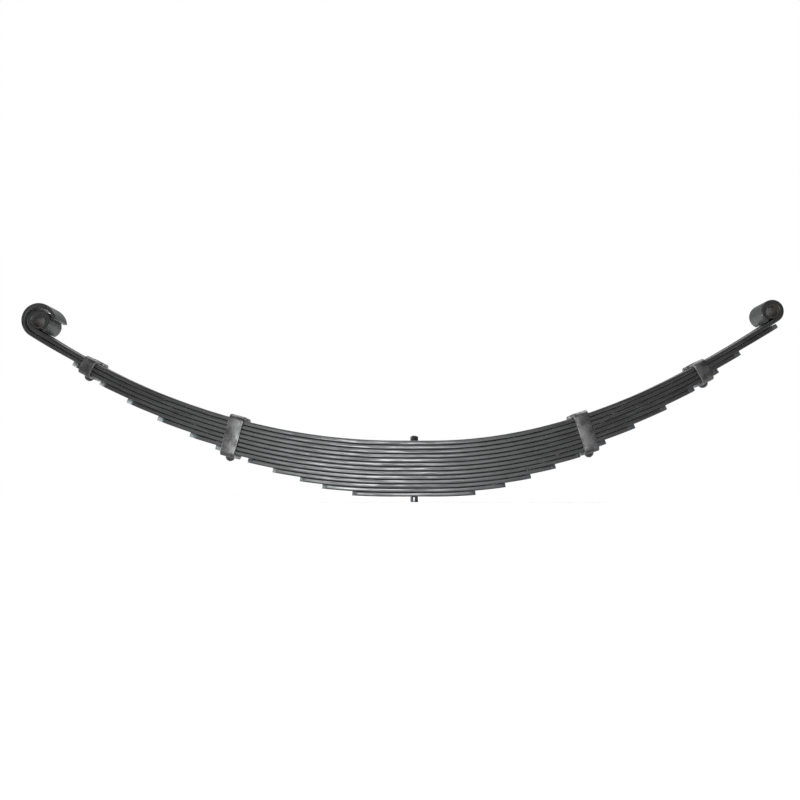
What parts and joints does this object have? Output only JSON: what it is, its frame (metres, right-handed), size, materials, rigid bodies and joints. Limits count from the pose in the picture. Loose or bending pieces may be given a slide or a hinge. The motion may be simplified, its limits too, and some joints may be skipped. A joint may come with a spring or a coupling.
{
  "type": "leaf spring",
  "caption": "Semi-elliptic leaf spring with rolled upturned eyes, a wrapper round one eye, clinch clips, a centre bolt with a locating head and bushed eyes.",
  "frame": {"origin": "middle of the end face of the locating head under the stack", "axes": "+X along the spring towards the plain (unwrapped) eye, +Y across the leaves away from the viewer, +Z from the axle seat up to the eyes"},
  "size_m": [1.3828, 0.0588, 0.3672],
  "materials": {
    "leaf_steel": "satin black over rolled spring steel, rubbed thin on the edges",
    "clip_steel": "worn grey mild steel strap",
    "rivet_steel": "dull forged button head",
    "bolt_steel": "dark oiled steel, brighter on the turned head",
    "nut_steel": "dark oiled steel",
    "bush_steel": "dark brownish bearing surface"
  },
  "bodies": {
    "leaf_pack": {"leaf_01_main": "leaf_steel", "leaf_02_wrapper": "leaf_steel", "leaf_03": "leaf_steel", "leaf_04": "leaf_steel", "leaf_05": "leaf_steel", "leaf_06": "leaf_steel", "leaf_07": "leaf_steel", "leaf_08": "leaf_steel", "leaf_09": "leaf_steel", "leaf_10": "leaf_steel", "leaf_11": "leaf_steel", "leaf_12": "leaf_steel", "leaf_13": "leaf_steel", "centre_bolt": "bolt_steel", "centre_nut": "nut_steel"},
    "left_inner_band": {"clip_left_inner": "clip_steel", "rivet_left_inner": "rivet_steel"},
    "left_outer_band": {"clip_left_outer": "clip_steel", "rivet_left_outer": "rivet_steel"},
    "left_eye_end": {"left_eye_bush": "bush_steel"},
    "right_inner_band": {"clip_right_inner": "clip_steel", "rivet_right_inner": "rivet_steel"},
    "right_outer_band": {"clip_right_outer": "clip_steel", "rivet_right_outer": "rivet_steel"},
    "right_eye_end": {"right_eye_bush": "bush_steel"}
  },
  "joints": [
    {"name": "left_flex", "type": "hinge", "parent": "leaf_pack", "child": "left_inner_band", "pos_m": [-0.16209, 0, 0.11572], "axis": [0, -1, 0], "range_deg": [-1.5, 12], "stiffness_Nm_per_rad": 19400, "deforming": ["leaf_01_main", "leaf_02_wrapper", "leaf_03", "leaf_04", "leaf_05", "leaf_06", "leaf_07", "leaf_08", "leaf_09", "leaf_10", "leaf_11"]},
    {"name": "left_flex_outer", "type": "hinge", "parent": "left_inner_band", "child": "left_outer_band", "pos_m": [-0.45707, 0, 0.19218], "axis": [0, -1, 0], "range_deg": [-1.37, 10.61], "deforming": ["leaf_01_main", "leaf_02_wrapper", "leaf_03", "leaf_04", "leaf_05"]},
    {"name": "left_flex_eye", "type": "hinge", "parent": "left_outer_band", "child": "left_eye_end", "pos_m": [-0.63886, 0, 0.28162], "axis": [0, -1, 0], "range_deg": [-0.6, 4.48], "deforming": ["leaf_01_main", "leaf_02_wrapper"]},
    {"name": "right_flex", "type": "hinge", "parent": "leaf_pack", "child": "right_inner_band", "pos_m": [0.1526, 0, 0.11746], "axis": [0, 1, 0], "range_deg": [-1.4, 11.3], "stiffness_Nm_per_rad": 21300, "deforming": ["leaf_01_main", "leaf_02_wrapper", "leaf_03", "leaf_04", "leaf_05", "leaf_06", "leaf_07", "leaf_08", "leaf_09", "leaf_10", "leaf_11"]},
    {"name": "right_flex_outer", "type": "hinge", "parent": "right_inner_band", "child": "right_outer_band", "pos_m": [0.41092, 0, 0.19478], "axis": [0, 1, 0], "range_deg": [-1.12, 8.72], "deforming": ["leaf_01_main", "leaf_02_wrapper", "leaf_03", "leaf_04", "leaf_05", "leaf_06"]},
    {"name": "right_flex_eye", "type": "hinge", "parent": "right_outer_band", "child": "right_eye_end", "pos_m": [0.58775, 0, 0.28763], "axis": [0, 1, 0], "range_deg": [-0.81, 6.14], "deforming": ["leaf_01_main", "leaf_02_wrapper"]}
  ],
  "couplings": [
    {"joint": "left_flex_outer", "follows": "left_flex", "ratio": 0.8796},
    {"joint": "left_flex_eye", "follows": "left_flex", "ratio": 0.3688},
    {"joint": "right_flex_outer", "follows": "right_flex", "ratio": 0.7672},
    {"joint": "right_flex_eye", "follows": "right_flex", "ratio": 0.5393}
  ]
}
